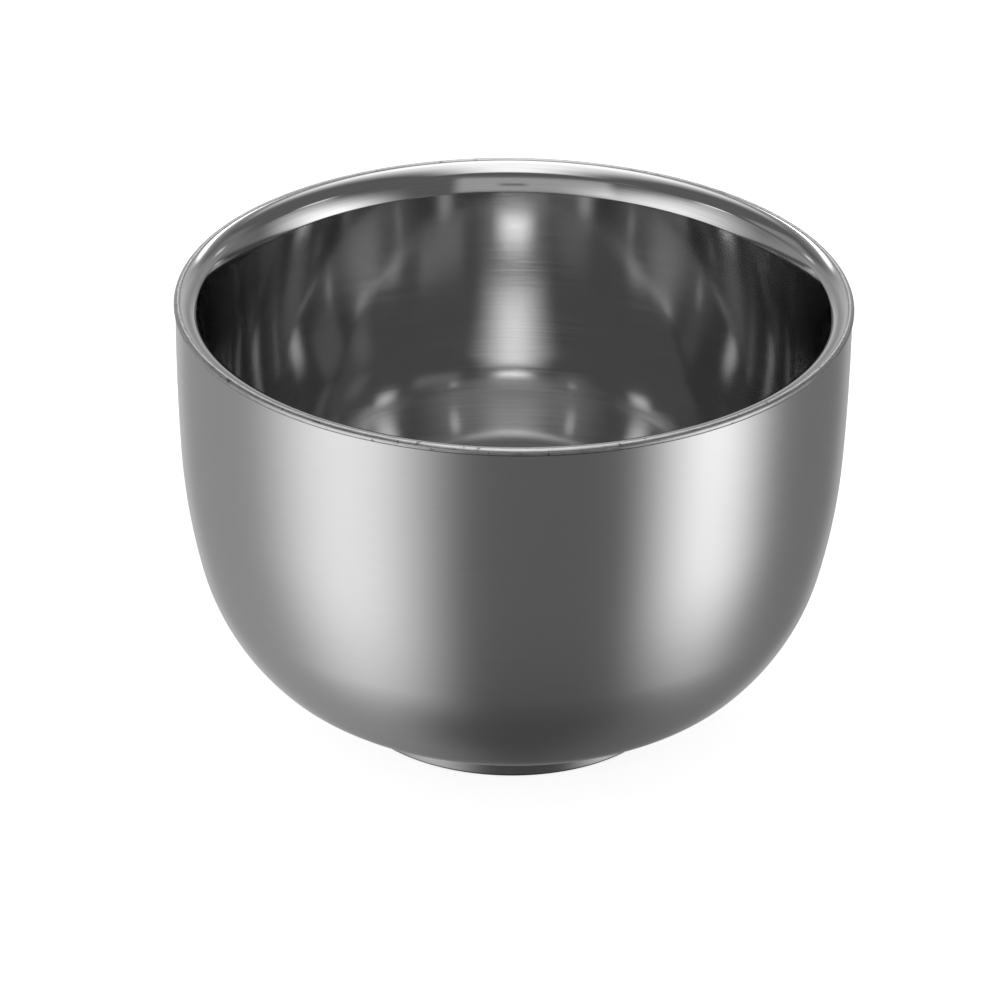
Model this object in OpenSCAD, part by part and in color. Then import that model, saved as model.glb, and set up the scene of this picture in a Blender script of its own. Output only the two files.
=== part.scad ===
// Double-walled steel shaving bowl.
// Two spun shells are joined at the rim by a ground weld bead, with still air between them.
// A pressed cap under the outer shell makes the foot the bowl stands on.
// Z is up, the bowl stands on z = 0 and its axis is the Z axis. Millimetres.

/* [Overall size] */

// Outside diameter over the weld bead
rim_d = 100; // [98:0.5:102]

// Height from the table to the top of the rim
total_h = 67.7; // [66:0.1:70]

/* [Outer shell] */

// Sheet thickness of the outer shell
outer_t = 0.7; // [0.5:0.05:0.9]

// How far the outer shell's top edge sits inside the bead
rim_step = 0.26; // [0.2:0.02:0.4]

// Outward lean of the outer wall at the rim, in degrees
rim_lean = 0.8; // [0:0.1:1.5]

/* [Inner shell] */

// Sheet thickness of the inner shell
inner_t = 0.6; // [0.5:0.05:0.7]

// Slope of the rim from the horizontal where it leaves the bead, in degrees
rim_slope = 6.5; // [5:0.5:8]

// Radius of the roll from the rim's top into the lip
roll_r = 3.6; // [3.4:0.1:3.8]

// Slope at which that roll ends, in degrees
roll_angle = 50; // [48:1:52]

// Radius of the fold between roll and lip
fold_r = 1.4; // [1.2:0.1:1.6]

// Slope of the lip below the fold, in degrees
lip_top_angle = 63; // [61:1:65]

// Radius of the lip's gentle curve
lip_r = 16; // [14:0.5:18]

// Slope of the lip at its lower edge, in degrees
lip_edge_angle = 72; // [70:1:75]

// Radius of the bend between lip and cavity wall
lip_bend_r = 0.6; // [0.4:0.1:1]

/* [Rim weld] */

// Radius of the ground bead's rounded top
bead_r = 0.6; // [0.55:0.01:0.65]

// How far the outer shell's top edge lies below the rim's top
bead_seat_h = 0.9; // [0.85:0.01:0.95]

/* [Foot] */

// Outside diameter of the foot
foot_d = 50; // [46:0.5:52]

// Sheet thickness of the foot cap
foot_t = 0.8; // [0.6:0.1:1]

// Outside diameter of the raised panel in the foot's underside
panel_d = 38; // [30:0.5:39]

// Height of that panel above the table
panel_h = 0.9; // [0.6:0.1:1.2]

// Radius of the foot's bottom corner
foot_corner_r = 0.5; // [0.3:0.1:0.6]

// Leg length of the fillet weld between foot and shell
foot_weld_leg = 0.7; // [0.4:0.1:1]

/* [Hidden] */

// Facets round the bowl
$fn = 90;

// Outer wall as tangent arcs from rim to bottom: radius, sweep in degrees, steps
outer_arcs = [[385, 2.6 + rim_lean, 3], [96, 10.9, 4], [33.5, 28.5, 6], [16.2, 48, 8]];

// Cavity wall as tangent arcs from lip to floor
cavity_arcs = [[220, 7.1, 4], [38, 34, 8], [14, 48.9, 7]];

// Rim and lip as tangent arcs from the bead down to the cavity: radius, slope at the end, steps
lip_arcs = [[roll_r, roll_angle, 8], [fold_r, lip_top_angle, 2], [lip_r, lip_edge_angle, 3]];
edge_arcs = [[lip_bend_r, 90, 2]];

bead_steps = 10;
corner_steps = 4;

// Weld bead circle
bead_cr = rim_d / 2 - bead_r;
bead_cz = total_h - bead_r;
seat_z = total_h - bead_seat_h;

// Outer shell's top edge
outer_top_r = rim_d / 2 - rim_step;
outer_top_in_r = outer_top_r - outer_t;

// The rolled rim meets the outer shell's inside on the bead's circle
lip_top = [outer_top_in_r, bead_cz + sqrt(pow(bead_r, 2) - pow(outer_top_in_r - bead_cr, 2))];
bead_end_a = acos((outer_top_in_r - bead_cr) / bead_r);

function last(list) = list[len(list) - 1];

function reversed(list) = [for (i = [len(list) - 1:-1:0]) list[i]];

// Points on an arc about c, from angle a0 to a1, both ends included
function arc(c, r, a0, a1, steps) =
    [for (i = [0:steps]) let (a = a0 + (a1 - a0) * i / steps) c + r * [cos(a), sin(a)]];

// A list without its first point
function rest(list) = [for (i = [1:len(list) - 1]) list[i]];

// The rim seen in half section: tangent arcs that run down and inwards from a start point.
// slope is its angle from the horizontal there; grow thickens every arc's radius.
function roll(start, slope, arcs, grow = 0, i = 0) =
    i == len(arcs) ? [] :
    let (r = arcs[i][0] + grow,
         end = arcs[i][1],
         c = start + r * [sin(slope), -cos(slope)],
         here = arc(c, r, 90 + slope, 90 + end, arcs[i][2]))
    concat(rest(here),
           roll(last(here), end, arcs, grow, i + 1));

// A wall seen in half section: tangent arcs that run down and inwards from a start point.
// lean is the wall's angle from the vertical there; grow thickens every arc's radius.
function wall(start, lean, arcs, grow = 0, i = 0) =
    i == len(arcs) ? [] :
    let (r = arcs[i][0] + grow,
         sweep = arcs[i][1],
         c = start + r * [-cos(lean), sin(lean)],
         here = arc(c, r, -lean, -lean - sweep, arcs[i][2]))
    concat(rest(here),
           wall(last(here), lean + sweep, arcs, grow, i + 1));

// Half sections of the two faces of each shell
outer_face = wall([outer_top_r, seat_z], -rim_lean, outer_arcs);
outer_back = wall([outer_top_in_r, seat_z], -rim_lean, outer_arcs, -outer_t);
lip_face = roll(lip_top, rim_slope, concat(lip_arcs, edge_arcs));
cavity_top = last(lip_face);
cavity_face = wall(cavity_top, 0, cavity_arcs);
cavity_back = wall(cavity_top + [inner_t, 0], 0, cavity_arcs, inner_t);

// Where the foot meets the flat bottom of the outer shell
foot_h = last(outer_face)[1];

module outer_shell()
{
    color([0.62, 0.62, 0.63])
    rotate_extrude()
    polygon(concat(
        [[outer_top_r, seat_z]],
        outer_face,
        [[0, foot_h], [0, foot_h + outer_t]],
        reversed(outer_back),
        [[outer_top_in_r, seat_z]]));
}

module inner_shell()
{
    // The hidden side runs one sheet thickness behind the visible side and ends at the outer shell
    roll_c = lip_top + roll_r * [sin(rim_slope), -cos(rim_slope)];
    back_r = roll_r - inner_t;
    trim = asin((roll_c[0] - outer_top_in_r) / back_r);
    back_end = roll_c + back_r * [-sin(trim), cos(trim)];
    lip_back = roll(back_end, trim, lip_arcs, -inner_t);
    color([0.72, 0.72, 0.73])
    rotate_extrude()
    polygon(concat(
        [lip_top],
        lip_face,
        cavity_face,
        [[0, last(cavity_face)[1]], [0, last(cavity_back)[1]]],
        reversed(cavity_back),
        [cavity_top + [inner_t, 0]],
        rest(reversed(lip_back)),
        [back_end]));
}

module rim_weld()
{
    seat_a = asin((seat_z - bead_cz) / bead_r);
    color([0.68, 0.68, 0.69])
    rotate_extrude()
    polygon(concat(
        [[outer_top_in_r, seat_z]],
        arc([bead_cr, bead_cz], bead_r, seat_a, bead_end_a, bead_steps)));
}

module foot_cap()
{
    r = foot_d / 2;
    panel_r = panel_d / 2;
    draw = panel_h;
    color([0.55, 0.55, 0.56])
    rotate_extrude()
    polygon(concat(
        [[r, foot_h]],
        arc([r - foot_corner_r, foot_corner_r], foot_corner_r, 0, -90, corner_steps),
        [[panel_r + draw, 0], [panel_r, panel_h], [0, panel_h], [0, panel_h + foot_t]],
        [[panel_r + foot_t / 2, panel_h + foot_t], [panel_r + draw + foot_t / 2, foot_t]],
        [[r - 2 * foot_t, foot_t], [r - foot_t, 2 * foot_t], [r - foot_t, foot_h]]));
}

module foot_weld()
{
    r = foot_d / 2;
    leg = foot_weld_leg;
    color([0.58, 0.58, 0.59])
    rotate_extrude()
    polygon(concat(
        [[r, foot_h]],
        arc([r + leg, foot_h - leg], leg, 180, 90, corner_steps)));
}

outer_shell();
inner_shell();
rim_weld();
foot_cap();
foot_weld();
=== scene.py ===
"""Double-walled steel shaving bowl: looks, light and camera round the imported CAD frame."""
from math import acos, asin, cos, degrees, pi, radians, sin

import bmesh
import bpy
from mathutils import Matrix, Vector

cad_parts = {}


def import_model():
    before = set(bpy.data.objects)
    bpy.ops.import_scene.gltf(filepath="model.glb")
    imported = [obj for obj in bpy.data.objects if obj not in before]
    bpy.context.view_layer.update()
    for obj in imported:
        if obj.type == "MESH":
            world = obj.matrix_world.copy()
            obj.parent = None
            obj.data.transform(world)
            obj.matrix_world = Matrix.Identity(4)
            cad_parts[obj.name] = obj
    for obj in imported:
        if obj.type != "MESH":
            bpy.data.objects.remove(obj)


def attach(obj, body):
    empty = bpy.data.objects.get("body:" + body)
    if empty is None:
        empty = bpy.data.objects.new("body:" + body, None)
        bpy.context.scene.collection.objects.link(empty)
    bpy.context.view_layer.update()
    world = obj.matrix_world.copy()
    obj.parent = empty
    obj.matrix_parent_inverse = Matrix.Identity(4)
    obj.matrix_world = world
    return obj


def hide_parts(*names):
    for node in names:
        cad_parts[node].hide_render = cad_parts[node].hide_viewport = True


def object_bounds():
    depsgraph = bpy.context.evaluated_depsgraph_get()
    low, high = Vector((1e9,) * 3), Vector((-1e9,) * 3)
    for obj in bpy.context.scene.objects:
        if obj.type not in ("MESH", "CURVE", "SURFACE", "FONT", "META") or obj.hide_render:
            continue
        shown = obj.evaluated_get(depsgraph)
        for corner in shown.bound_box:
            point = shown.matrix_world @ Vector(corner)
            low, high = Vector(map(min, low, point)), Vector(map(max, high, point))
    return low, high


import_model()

MM = 0.001
cad_low, cad_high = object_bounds()

# ---------------------------------------------------------------- sizes
# millimetres and degrees, as in the CAD source; the two outer measures come from the frame
RIM_R = cad_high.x / MM
TOP_Z = cad_high.z / MM
OUTER_T = 0.7
INNER_T = 0.6
RIM_STEP = 0.26
RIM_LEAN = 0.8
RIM_SLOPE = 6.5
BEAD_R = 0.6
BEAD_SEAT_H = 0.9
FOOT_R = 25.0
FOOT_T = 0.8
PANEL_R = 19.0
PANEL_H = 0.9
FOOT_CORNER_R = 0.5
WELD_LEG = 0.7

# the walls as tangent arcs from the rim down: radius and sweep
OUTER_ARCS = [(385, 2.6 + RIM_LEAN), (96, 10.9), (33.5, 28.5), (16.2, 48)]
CAVITY_ARCS = [(220, 7.1), (38, 34), (14, 48.9)]

# the rim from the bead over the roll, the fold and the lip to the bend into the cavity:
# radius and the slope from the horizontal at which each arc ends
RIM_ARCS = [(3.6, 50), (1.4, 63), (16, 72), (0.6, 90)]

# where the bead's circle is, and where the two shells meet it
BEAD_X = RIM_R - BEAD_R
BEAD_Z = TOP_Z - BEAD_R
SEAT_Z = TOP_Z - BEAD_SEAT_H
OUTER_TOP_R = RIM_R - RIM_STEP
OUTER_TOP_IN_R = OUTER_TOP_R - OUTER_T
BEAD_END = degrees(acos((OUTER_TOP_IN_R - BEAD_X) / BEAD_R))
RIM_START = (OUTER_TOP_IN_R, BEAD_Z + BEAD_R * sin(radians(BEAD_END)))

# how finely the profiles and the turn are divided, in steps or in degrees a step
AROUND = 256
FACE_STEP = 1.2
RIM_FACE_STEP = 1.5
BACK_STEP = 3
WALL_MIN_STEPS = 6
RIM_MIN_STEPS = 4
BEAD_STEPS = 24
CORNER_STEPS = 8
OUTER_FLAT_STEPS = 8
CAVITY_FLAT_STEPS = 20

# an extra ring on the foot's side, in mm; edges sharper than this angle stay sharp; a radius
# below this one is a point on the axis
FOOT_RING_Z = 3
SHARP_ANGLE = 28
ON_AXIS = 1e-6


# ---------------------------------------------------------------- profiles
def arc(c, r, a0, a1, steps):
    """Points on an arc about c, from angle a0 to a1 in degrees."""
    points = []
    for i in range(steps + 1):
        a = radians(a0 + (a1 - a0) * i / steps)
        points.append((c[0] + r * cos(a), c[1] + r * sin(a)))
    return points


def wall(start, lean, arcs, grow, step):
    """A wall in half section: tangent arcs that run down and inwards from a start point.

    lean is the wall's angle from the vertical at the start; grow thickens every arc's radius.
    """
    points = [start]
    for r, sweep in arcs:
        r += grow
        c = (points[-1][0] - r * cos(radians(lean)), points[-1][1] + r * sin(radians(lean)))
        steps = max(WALL_MIN_STEPS, round(sweep / step))
        points += arc(c, r, -lean, -lean - sweep, steps)[1:]
        lean += sweep
    return points


def roll(start, slope, arcs, grow, step):
    """The rim in half section: tangent arcs that run down and inwards, each up to its own slope."""
    points = [start]
    for r, end in arcs:
        r += grow
        c = (points[-1][0] + r * sin(radians(slope)), points[-1][1] - r * cos(radians(slope)))
        steps = max(RIM_MIN_STEPS, round((end - slope) / step))
        points += arc(c, r, 90 + slope, 90 + end, steps)[1:]
        slope = end
    return points


def to_axis(r, z, steps):
    """A level run of points from radius r to the axis."""
    return [(r - r * i / steps, z) for i in range(1, steps + 1)]


OUTER_FACE = wall((OUTER_TOP_R, SEAT_Z), -RIM_LEAN, OUTER_ARCS, 0, FACE_STEP)
FOOT_H = OUTER_FACE[-1][1]


def outer_profile():
    """The outer shell: its face down to the flat bottom, and its back one sheet thickness inside."""
    back = wall((OUTER_TOP_IN_R, SEAT_Z), -RIM_LEAN, OUTER_ARCS, -OUTER_T, BACK_STEP)
    face = OUTER_FACE + to_axis(OUTER_FACE[-1][0], FOOT_H, OUTER_FLAT_STEPS)
    return face + [(0, FOOT_H + OUTER_T)] + back[::-1]


def rim_back():
    """The rim's hidden side, one sheet thickness behind its face and cut off at the outer shell."""
    roll_r = RIM_ARCS[0][0]
    roll_x = RIM_START[0] + roll_r * sin(radians(RIM_SLOPE))
    roll_z = RIM_START[1] - roll_r * cos(radians(RIM_SLOPE))
    back_r = roll_r - INNER_T
    trim = asin((roll_x - OUTER_TOP_IN_R) / back_r)
    first = (roll_x - back_r * sin(trim), roll_z + back_r * cos(trim))
    return roll(first, degrees(trim), RIM_ARCS[:-1], -INNER_T, BACK_STEP)


def inner_profile():
    """The inner shell: rim, lip, cavity wall and floor, and the hidden side of each."""
    rim = roll(RIM_START, RIM_SLOPE, RIM_ARCS, 0, RIM_FACE_STEP)
    cavity = wall(rim[-1], 0, CAVITY_ARCS, 0, FACE_STEP)
    floor_r, floor_z = cavity[-1]
    back = wall((rim[-1][0] + INNER_T, rim[-1][1]), 0, CAVITY_ARCS, INNER_T, BACK_STEP)
    face = rim + cavity[1:] + to_axis(floor_r, floor_z, CAVITY_FLAT_STEPS)
    # the rim's back ends one point early, because the last one is the cavity back's first
    return face + [(0, back[-1][1])] + back[::-1] + rim_back()[-2::-1]


def weld_profile():
    """The ground bead that caps both shells round the mouth."""
    seat = degrees(asin((SEAT_Z - BEAD_Z) / BEAD_R))
    return [(OUTER_TOP_IN_R, SEAT_Z)] + arc((BEAD_X, BEAD_Z), BEAD_R, seat, BEAD_END, BEAD_STEPS)


def foot_profile():
    """The pressed cap: side, rounded corner, resting ring and the raised panel inside it."""
    r, t, d = FOOT_R, FOOT_T, PANEL_H
    corner = (r - FOOT_CORNER_R, FOOT_CORNER_R)
    points = [(r, FOOT_H), (r, FOOT_RING_Z)]
    points += arc(corner, FOOT_CORNER_R, 0, -90, CORNER_STEPS)
    points += [(PANEL_R + d, 0), (PANEL_R, d), (0, d), (0, d + t), (PANEL_R + t / 2, d + t)]
    points += [(PANEL_R + d + t / 2, t), (r - 2 * t, t), (r - t, 2 * t), (r - t, FOOT_H)]
    return points


def fillet_profile():
    """The fillet weld in the corner between foot and outer shell."""
    c = (FOOT_R + WELD_LEG, FOOT_H - WELD_LEG)
    return [(FOOT_R, FOOT_H)] + arc(c, WELD_LEG, 180, 90, CORNER_STEPS)


# ---------------------------------------------------------------- meshes
def turned(profile):
    """The corners of a half section turned round Z, in metres, and each point's ring of corners."""
    verts, rings = [], []
    for r, z in profile:
        if r < ON_AXIS:
            rings.append([len(verts)] * AROUND)
            verts.append((0, 0, z * MM))
            continue
        rings.append(list(range(len(verts), len(verts) + AROUND)))
        for k in range(AROUND):
            a = 2 * pi * k / AROUND
            verts.append((r * MM * cos(a), r * MM * sin(a), z * MM))
    return verts, rings


def band(low, high):
    """The faces between two rings; a ring on the axis is one point, so its faces are triangles."""
    low_is_point = low[0] == low[1]
    high_is_point = high[0] == high[1]
    if low_is_point and high_is_point:
        return []
    faces = []
    for k in range(AROUND):
        j = (k + 1) % AROUND
        if low_is_point:
            faces.append([low[k], high[k], high[j]])
        elif high_is_point:
            faces.append([low[k], high[k], low[j]])
        else:
            faces.append([low[k], high[k], high[j], low[j]])
    return faces


def lathe(name, profile):
    """Turns a closed half section, in millimetres, into a closed smooth mesh object."""
    verts, rings = turned(profile)
    faces = []
    for i, ring in enumerate(rings):
        faces += band(ring, rings[(i + 1) % len(rings)])
    obj = placed(name, verts, faces)
    mesh = obj.data
    mesh.validate()
    outward(mesh)
    mesh.shade_smooth()
    mesh.set_sharp_from_angle(angle=radians(SHARP_ANGLE))
    return obj


def placed(name, verts, faces):
    """A new mesh object in the scene."""
    mesh = bpy.data.meshes.new(name)
    mesh.from_pydata(verts, [], faces)
    mesh.update()
    obj = bpy.data.objects.new(name, mesh)
    bpy.context.scene.collection.objects.link(obj)
    return obj


def outward(mesh):
    """Turns the faces so that their normals point out of the solid."""
    bm = bmesh.new()
    bm.from_mesh(mesh)
    bmesh.ops.recalc_face_normals(bm, faces=bm.faces)
    bm.to_mesh(mesh)
    bm.free()


# ---------------------------------------------------------------- shader nodes
# square metres; keeps the axis out of a division by zero
AXIS_GUARD = 1e-9

# how strong the finer parts of each noise are, and how many of them the lines have
EVEN_ROUGHNESS = 0.5
LINE_ROUGHNESS = 0.6
LINE_DETAIL = 5.0


class Nodes:
    """A small helper that adds and joins shader nodes."""

    def __init__(self, tree):
        self.tree = tree
        tree.nodes.clear()

    def add(self, kind, **values):
        """A new node; each value goes to the input of that name or else to the node's setting."""
        node = self.tree.nodes.new(kind)
        for key, value in values.items():
            if key in node.inputs:
                node.inputs[key].default_value = value
            else:
                setattr(node, key, value)
        return node

    def join(self, source, target):
        """A link from an output to an input."""
        self.tree.links.new(source, target)

    def math(self, operation, a, b=None):
        """One calculation on sockets or numbers."""
        node = self.add("ShaderNodeMath", operation=operation)
        for socket, value in zip(node.inputs, (a, b)):
            if isinstance(value, (int, float)):
                socket.default_value = value
            elif value is not None:
                self.join(value, socket)
        return node.outputs[0]

    def split(self, vector):
        """The three parts of a vector."""
        node = self.add("ShaderNodeSeparateXYZ")
        self.join(vector, node.inputs[0])
        return node.outputs

    def remap(self, value, start, end, first, last):
        """first where value is below start, last where it is above end, and a ramp between."""
        node = self.add("ShaderNodeMapRange")
        numbers = {"From Min": start, "From Max": end, "To Min": first, "To Max": last}
        for key, number in numbers.items():
            node.inputs[key].default_value = number
        self.join(value, node.inputs["Value"])
        return node.outputs["Result"]

    def mix(self, **settings):
        """A Mix node with its factor at 1, the two inputs it mixes, and its output."""
        node = self.add("ShaderNodeMix", data_type="RGBA", **settings)
        node.inputs["Factor"].default_value = 1.0
        first, second = [socket for socket in node.inputs if socket.type == "RGBA"]
        output = [socket for socket in node.outputs if socket.type == "RGBA"][0]
        return first, second, output

    def darken(self, surface, level):
        """A colour socket times a grey level."""
        first, second, output = self.mix(blend_type="MULTIPLY")
        self.join(surface, first)
        self.join(level, second)
        return output

    def shade(self, grey, level):
        """A fixed grey times a grey level."""
        first, second, output = self.mix(blend_type="MULTIPLY")
        first.default_value = (grey, grey, grey, 1)
        self.join(level, second)
        return output

    def noise(self, place, scale, detail):
        """Noise that is alike in every direction."""
        node = self.add("ShaderNodeTexNoise", Scale=scale, Detail=detail, Roughness=EVEN_ROUGHNESS)
        self.join(place, node.inputs["Vector"])
        return node.outputs["Fac"]

    def turning_lines(self, place, fineness, run):
        """Noise drawn out round the Z axis: fine across the profile, slow along the turn."""
        x, y, z = self.split(place)
        square = self.math("ADD", self.math("MULTIPLY", x, x), self.math("MULTIPLY", y, y))
        r = self.math("SQRT", self.math("MAXIMUM", square, AXIS_GUARD))
        point = self.add("ShaderNodeCombineXYZ")
        self.join(self.math("MULTIPLY", r, fineness), point.inputs[0])
        self.join(self.math("MULTIPLY", z, fineness), point.inputs[1])
        self.join(self.math("MULTIPLY", self.math("DIVIDE", x, r), run), point.inputs[2])
        node = self.add("ShaderNodeTexNoise", noise_dimensions="4D", Scale=1.0,
                        Detail=LINE_DETAIL, Roughness=LINE_ROUGHNESS)
        self.join(point.outputs[0], node.inputs["Vector"])
        self.join(self.math("MULTIPLY", self.math("DIVIDE", y, r), run), node.inputs["W"])
        return node.outputs["Fac"]


# ---------------------------------------------------------------- materials
# the stretch of a noise's output that holds nearly all of it, and its middle
NOISE_LOW = 0.3
NOISE_HIGH = 0.7
NOISE_MIDDLE = 0.5

# soft blotches: scale, where higher is finer; detail; and their share in the roughness
BLOTCH_SCALE = 45.0
BLOTCH_DETAIL = 3.0
BLOTCH_SHARE = 0.35

# pits: scale, detail and the stretch of the noise over which they darken
PIT_SCALE = 1100.0
PIT_DETAIL = 2.0
PIT_START = 0.66
PIT_END = 0.72

# seams and lines of painted shade: how far they wander in mm, and where they start and stop to fade,
# in half widths
DARK_LINE_WOBBLE = 0.3
DARK_LINE_CORE = 0.4
DARK_LINE_EDGE = 1.6

# depth of the lines' relief in mm
RELIEF = 0.02

# a quarter turn of the anisotropy, so that highlights stretch across the lines
ACROSS_LINES = 0.25


def material(name):
    """A new node material."""
    mat = bpy.data.materials.new(name)
    mat.use_nodes = True
    return mat


def with_seams_and_painted_shade(nodes, surface, place, blotches, seams_and_shade):
    """Darkens a colour along level lines that wander a little: seams, and painted shade and shadow.

    A line is its height in mm, its half width in mm and what is left of the colour there.
    """
    height = nodes.split(place)[2]
    swing = nodes.math("SUBTRACT", blotches, NOISE_MIDDLE)
    wobble = nodes.math("MULTIPLY", swing, DARK_LINE_WOBBLE * MM)
    level = nodes.math("ADD", height, wobble)
    for line_z, half, keep in seams_and_shade:
        away = nodes.math("ABSOLUTE", nodes.math("SUBTRACT", level, line_z * MM))
        left = nodes.remap(away, half * DARK_LINE_CORE * MM, half * DARK_LINE_EDGE * MM, keep, 1.0)
        surface = nodes.darken(surface, left)
    return surface


def with_pits(nodes, surface, place, depth):
    """Darkens small scattered pits by depth."""
    specks = nodes.noise(place, PIT_SCALE, PIT_DETAIL)
    return nodes.darken(surface, nodes.remap(specks, PIT_START, PIT_END, 1.0, 1.0 - depth))


def lined_roughness(nodes, lines, blotches, rough, depth):
    """Roughness that follows the fine lines and, less, the soft blotches."""
    blend = nodes.add("ShaderNodeMix", data_type="FLOAT", Factor=BLOTCH_SHARE)
    nodes.join(lines, blend.inputs["A"])
    nodes.join(blotches, blend.inputs["B"])
    return nodes.remap(blend.outputs["Result"], NOISE_LOW, NOISE_HIGH, rough - depth, rough + depth)


def steel(name, grey, rough, aniso, fineness, run, line_depth, rough_depth,
          relief=0.0, seams_and_shade=(), pits=0.0):
    """Steel with fine lines round the Z axis, in colour, roughness and relief.

    fineness is how close the lines lie across the profile and run how often they change along the
    turn; the depths say how much the lines change the colour and the roughness.
    """
    mat = material(name)
    nodes = Nodes(mat.node_tree)
    out = nodes.add("ShaderNodeOutputMaterial")
    bsdf = nodes.add("ShaderNodeBsdfPrincipled", Metallic=1.0, Anisotropic=aniso)
    bsdf.inputs["Anisotropic Rotation"].default_value = ACROSS_LINES
    nodes.join(bsdf.outputs[0], out.inputs[0])
    tangent = nodes.add("ShaderNodeTangent", direction_type="RADIAL", axis="Z")
    nodes.join(tangent.outputs[0], bsdf.inputs["Tangent"])
    place = nodes.add("ShaderNodeTexCoord").outputs["Object"]
    lines = nodes.turning_lines(place, fineness, run)
    blotches = nodes.noise(place, BLOTCH_SCALE, BLOTCH_DETAIL)
    surface = nodes.shade(grey, nodes.remap(lines, NOISE_LOW, NOISE_HIGH, 1.0 - line_depth, 1.0))
    if seams_and_shade:
        surface = with_seams_and_painted_shade(nodes, surface, place, blotches, seams_and_shade)
    if pits:
        surface = with_pits(nodes, surface, place, pits)
    nodes.join(surface, bsdf.inputs["Base Color"])
    nodes.join(lined_roughness(nodes, lines, blotches, rough, rough_depth), bsdf.inputs["Roughness"])
    if relief:
        bump = nodes.add("ShaderNodeBump", Strength=relief, Distance=RELIEF * MM)
        nodes.join(lines, bump.inputs["Height"])
        nodes.join(bump.outputs[0], bsdf.inputs["Normal"])
    return mat


# painted shade in a line under the bead, where it meets the outer shell; the dark seam where the
# foot meets it; and a painted contact shadow along the foot's lower edge
BEAD_PAINTED_SHADE = (SEAT_Z, 0.11, 0.42)
FOOT_SEAM = (FOOT_H, 0.18, 0.35)
# painted contact shadow at the foot's lower edge
FOOT_PAINTED_SHADOW = (0, 0.32, 0.25)


def satin_steel():
    """The outside's fine satin, with a line of painted shade under the bead."""
    return steel("satin_steel", grey=0.60, rough=0.29, aniso=0.6, fineness=7000, run=5,
                 line_depth=0.05, rough_depth=0.02, seams_and_shade=[BEAD_PAINTED_SHADE])


def polished_steel():
    """The cavity's bright polish with its turning lines."""
    return steel("polished_steel", grey=0.62, rough=0.08, aniso=0.5, fineness=4000, run=3,
                 line_depth=0.14, rough_depth=0.03)


def ground_weld():
    """The bead, ground by hand and left with pits; painted shade along its lower edge."""
    return steel("ground_weld", grey=0.66, rough=0.33, aniso=0.0, fineness=3600, run=22,
                 line_depth=0.35, rough_depth=0.12, relief=0.9, seams_and_shade=[BEAD_PAINTED_SHADE], pits=0.55)


def foot_steel():
    """The foot, darker than the shell partly in finish and partly by painted shade."""
    return steel("foot_steel", grey=0.34, rough=0.30, aniso=0.5, fineness=5000, run=6,
                 line_depth=0.08, rough_depth=0.04, seams_and_shade=[FOOT_SEAM, FOOT_PAINTED_SHADOW])


def fillet_steel():
    """The brushed fillet weld."""
    return steel("fillet_steel", grey=0.26, rough=0.38, aniso=0.0, fineness=5000, run=12,
                 line_depth=0.15, rough_depth=0.05, relief=0.2)


# ---------------------------------------------------------------- the bowl
def build():
    """Makes each piece, which rides on the one body and stands for its CAD node."""
    rows = [
        ("shell_outer", outer_profile(), satin_steel(), "outer_shell", "satin_shell"),
        ("liner", inner_profile(), polished_steel(), "inner_shell", "polished_liner"),
        ("weld_bead", weld_profile(), ground_weld(), "rim_weld", "ground_weld"),
        ("foot", foot_profile(), foot_steel(), "foot_cap", "foot_steel"),
        ("foot_fillet", fillet_profile(), fillet_steel(), "foot_weld", "weld_fillet"),
    ]
    for name, profile, mat, node, slot in rows:
        piece = lathe(name, profile)
        piece.data.materials.append(mat)
        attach(piece, "root")
        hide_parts(node)


# ---------------------------------------------------------------- stage
WHITE = (1, 1, 1, 1)

# metres; a glow of 1 is plain white
FLOOR_SIZE = 9.0
FLOOR_GREY = 0.9
FLOOR_ROUGHNESS = 0.9
FLOOR_GLOW = 0.8
DOME_R = 5.0
DOME_AROUND = 48
DOME_UP = 12
DOME_LOWEST = -10
DOME_HIGHEST = 90
DOME_GLOW = 1.0


def floor():
    """A plain white floor that the metal doesn't reflect."""
    h = FLOOR_SIZE / 2
    obj = placed("floor", [(-h, -h, 0), (h, -h, 0), (h, h, 0), (-h, h, 0)], [(0, 1, 2, 3)])
    mat = material("floor_white")
    sockets = mat.node_tree.nodes["Principled BSDF"].inputs
    sockets["Base Color"].default_value = (FLOOR_GREY, FLOOR_GREY, FLOOR_GREY, 1)
    sockets["Roughness"].default_value = FLOOR_ROUGHNESS
    sockets["Specular IOR Level"].default_value = 0.0
    sockets["Emission Color"].default_value = WHITE
    sockets["Emission Strength"].default_value = FLOOR_GLOW
    obj.data.materials.append(mat)
    obj.visible_glossy = False


def dome():
    """A plain white surround that only the camera sees: it lights nothing and isn't reflected."""
    verts = []
    for i in range(DOME_UP + 1):
        tilt = radians(DOME_LOWEST + (DOME_HIGHEST - DOME_LOWEST) * i / DOME_UP)
        ring_r = DOME_R * cos(tilt)
        for k in range(DOME_AROUND):
            a = 2 * pi * k / DOME_AROUND
            verts.append((ring_r * cos(a), ring_r * sin(a), DOME_R * sin(tilt)))
    faces = []
    for i in range(DOME_UP):
        low = i * DOME_AROUND
        high = low + DOME_AROUND
        for k in range(DOME_AROUND):
            j = (k + 1) % DOME_AROUND
            faces.append((low + k, low + j, high + j, high + k))
    obj = placed("backdrop", verts, faces)
    obj.data.shade_smooth()
    mat = material("backdrop_white")
    nodes = Nodes(mat.node_tree)
    out = nodes.add("ShaderNodeOutputMaterial")
    glow = nodes.add("ShaderNodeEmission", Strength=DOME_GLOW)
    nodes.join(glow.outputs[0], out.inputs[0])
    obj.data.materials.append(mat)
    obj.visible_glossy = False
    obj.visible_diffuse = False
    obj.visible_transmission = False
    obj.visible_shadow = False


# ---------------------------------------------------------------- studio light
# light that comes from every direction
FILL = 0.155

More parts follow.
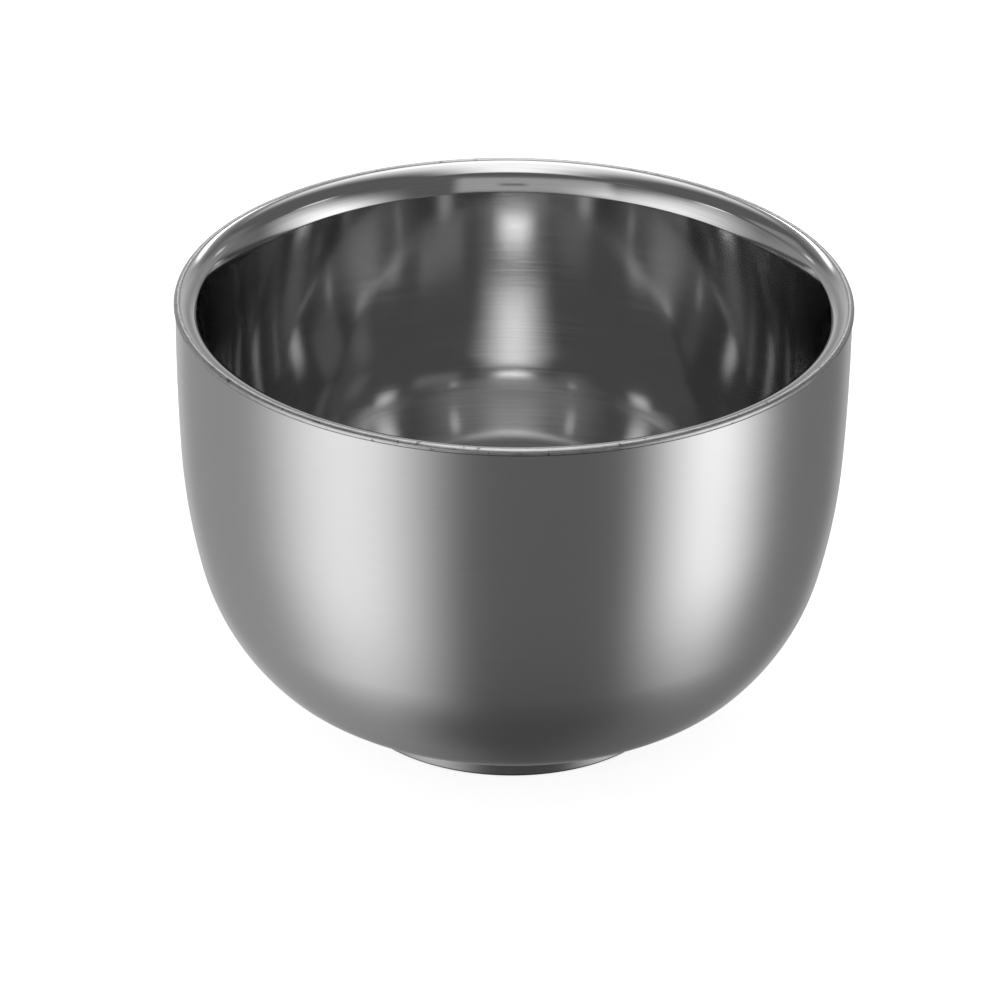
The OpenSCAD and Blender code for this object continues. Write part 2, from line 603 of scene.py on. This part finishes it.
# panels of extra light, in degrees: azimuth 0 is towards the camera and 90 is on the right, and the
# elevation is up from the horizon; each row has the azimuth of the middle, half width and soft
# edge, the lowest and highest elevation, their soft edges, and the radiance, negative for a shade
PANELS = [
    # the two big soft boxes that make the bright bands on the outside
    (-57, 24, 22, -55, 19, 20, 8, 1.24),
    (71, 18, 17, -43, 15, 14, 8, 1.62),
    # weak light from the sides and behind, for the outside's edges
    (-120, 46, 22, -76, 10, 10, 12, 0.25),
    (125, 42, 22, -76, 10, 10, 12, 0.08),
    # light from behind: below the horizon and just above it
    (180, 26, 10, -44, 6, 7, 8, 0.50),
    (180, 58, 20, 6, 26, 6, 4, 0.22),
    # a panel in front with a small shade in its middle, which the lip reflects at the back
    (-7, 29, 3, 12, 27.5, 1, 1, 0.36),
    (1, 5, 2, 18.5, 20.5, 1, 1, -0.42),
    # a small lamp on each side and two more behind, for the spots in the cavity
    (80, 7, 6, 21, 29, 4, 3, 1.25),
    (-80, 7, 6, 21, 29, 4, 3, 1.25),
    (135, 3, 2, 22, 25, 2, 2, 0.8),
    (-135, 3, 2, 22, 25, 2, 2, 0.9),
    # weak patches that lift the cavity's sides
    (-120, 18, 6, 27, 37, 3, 2, 0.2),
    (134, 12, 8, 27, 36, 3, 3, 0.12),
    (-44, 8, 6, 33, 42, 3, 3, 0.11),
    # a shade below, for the belly's underside
    (0, 180, 1, -120, -58, 1, 13, -0.075),
]

# overhead strips that run from behind to the front, for the cavity's middle streak; each row has
# the half width and soft edge, from and to in degrees up from the horizon behind, their soft edge,
# and the radiance
STRIPS = [
    (17, 13, 20, 40, 6, 0.38),
    (10, 8, 30.7, 34, 1.2, 4.4),
    (13, 12, 44, 118, 3, 1.45),
    (8, 8, 45, 62, 3, 0.35),
]


class Studio(Nodes):
    """Node steps that paint soft-edged panels of light over the sphere of directions."""

    def above(self, angle, at, soft):
        """0 where an angle is below at and 1 above it, in degrees, with a soft edge."""
        node = self.add("ShaderNodeMapRange", interpolation_type="SMOOTHSTEP")
        node.inputs["From Min"].default_value = radians(at - soft)
        node.inputs["From Max"].default_value = radians(at + soft)
        self.join(angle, node.inputs["Value"])
        return node.outputs["Result"]

    def below(self, angle, at, soft):
        """1 where an angle is below at and 0 above it."""
        return self.math("SUBTRACT", 1.0, self.above(angle, at, soft))

    def near(self, azimuth, centre, half, soft):
        """1 within half of the centre and 0 outside, the short way round."""
        node = self.add("ShaderNodeMath", operation="WRAP")
        self.join(self.math("SUBTRACT", azimuth, radians(centre)), node.inputs[0])
        node.inputs[1].default_value = pi
        node.inputs[2].default_value = -pi
        return self.below(self.math("ABSOLUTE", node.outputs[0]), half, soft)

    def light(self, parts, radiance, total):
        """Adds one light, which shines where all its parts are 1, to the total."""
        product = parts[0]
        for part in parts[1:]:
            product = self.math("MULTIPLY", product, part)
        return self.math("ADD", self.math("MULTIPLY", product, radiance), total)


def world():
    """The studio, painted on the world by direction."""
    studio = bpy.data.worlds.new("studio")
    bpy.context.scene.world = studio
    studio.use_nodes = True
    nodes = Studio(studio.node_tree)
    out = nodes.add("ShaderNodeOutputWorld")
    back = nodes.add("ShaderNodeBackground")
    back.inputs["Color"].default_value = WHITE
    nodes.join(back.outputs[0], out.inputs[0])
    x, y, z = nodes.split(nodes.add("ShaderNodeTexCoord").outputs["Generated"])
    azimuth = nodes.math("ARCTAN2", x, nodes.math("MULTIPLY", y, -1.0))
    height = nodes.math("ARCSINE", z)
    side = nodes.math("ABSOLUTE", nodes.math("ARCSINE", x))
    over = nodes.math("ARCTAN2", z, y)
    total = FILL
    for middle, half, edge, low, high, low_edge, high_edge, radiance in PANELS:
        parts = [nodes.near(azimuth, middle, half, edge)]
        parts.append(nodes.above(height, low, low_edge))
        parts.append(nodes.below(height, high, high_edge))
        total = nodes.light(parts, radiance, total)
    for half, edge, start, end, end_edge, radiance in STRIPS:
        parts = [nodes.below(side, half, edge)]
        parts.append(nodes.above(over, start, end_edge))
        parts.append(nodes.below(over, end, end_edge))
        total = nodes.light(parts, radiance, total)
    nodes.join(total, back.inputs["Strength"])


# ---------------------------------------------------------------- camera
# distance in metres and elevation of the camera, seen from the rim's centre; then how far its aim
# is turned, tilted and rolled from the line to that centre, in degrees; lens and sensor in mm; the
# nearest and farthest that it sees, in metres
CAM_DIST = 0.7
CAM_ELEVATION = 25.546
AIM_TURN = -0.157
AIM_TILT = -2.434
AIM_ROLL = 0.650
LENS = 171.1404
SENSOR = 36.0
NEAREST = 0.01
FARTHEST = 50


def camera():
    """The camera at the photograph's viewing angle."""
    data = bpy.data.cameras.new("camera")
    data.sensor_width = SENSOR
    data.lens = LENS
    data.clip_start = NEAREST
    data.clip_end = FARTHEST
    obj = bpy.data.objects.new("camera", data)
    bpy.context.scene.collection.objects.link(obj)
    up_angle = radians(CAM_ELEVATION)
    obj.location = (0, -CAM_DIST * cos(up_angle), BEAD_Z * MM + CAM_DIST * sin(up_angle))
    turn = radians(AIM_TURN)
    tilt = radians(AIM_TILT - CAM_ELEVATION)
    roll_angle = radians(AIM_ROLL)
    forward = Vector((sin(turn) * cos(tilt), cos(turn) * cos(tilt), sin(tilt)))
    level_right = forward.cross(Vector((0, 0, 1))).normalized()
    level_up = level_right.cross(forward)
    right = level_right * cos(roll_angle) + level_up * sin(roll_angle)
    up = level_up * cos(roll_angle) - level_right * sin(roll_angle)
    obj.rotation_euler = Matrix((right, up, -forward)).transposed().to_euler()
    bpy.context.scene.camera = obj


# light goes round the polished cavity many times before it leaves
CAVITY_BOUNCES = 24


def light_paths():
    """Plain colours, and enough bounces for the cavity."""
    scene = bpy.context.scene
    scene.view_settings.view_transform = "Standard"
    scene.cycles.max_bounces = CAVITY_BOUNCES
    scene.cycles.glossy_bounces = CAVITY_BOUNCES


build()
floor()
dome()
world()
camera()
light_paths()
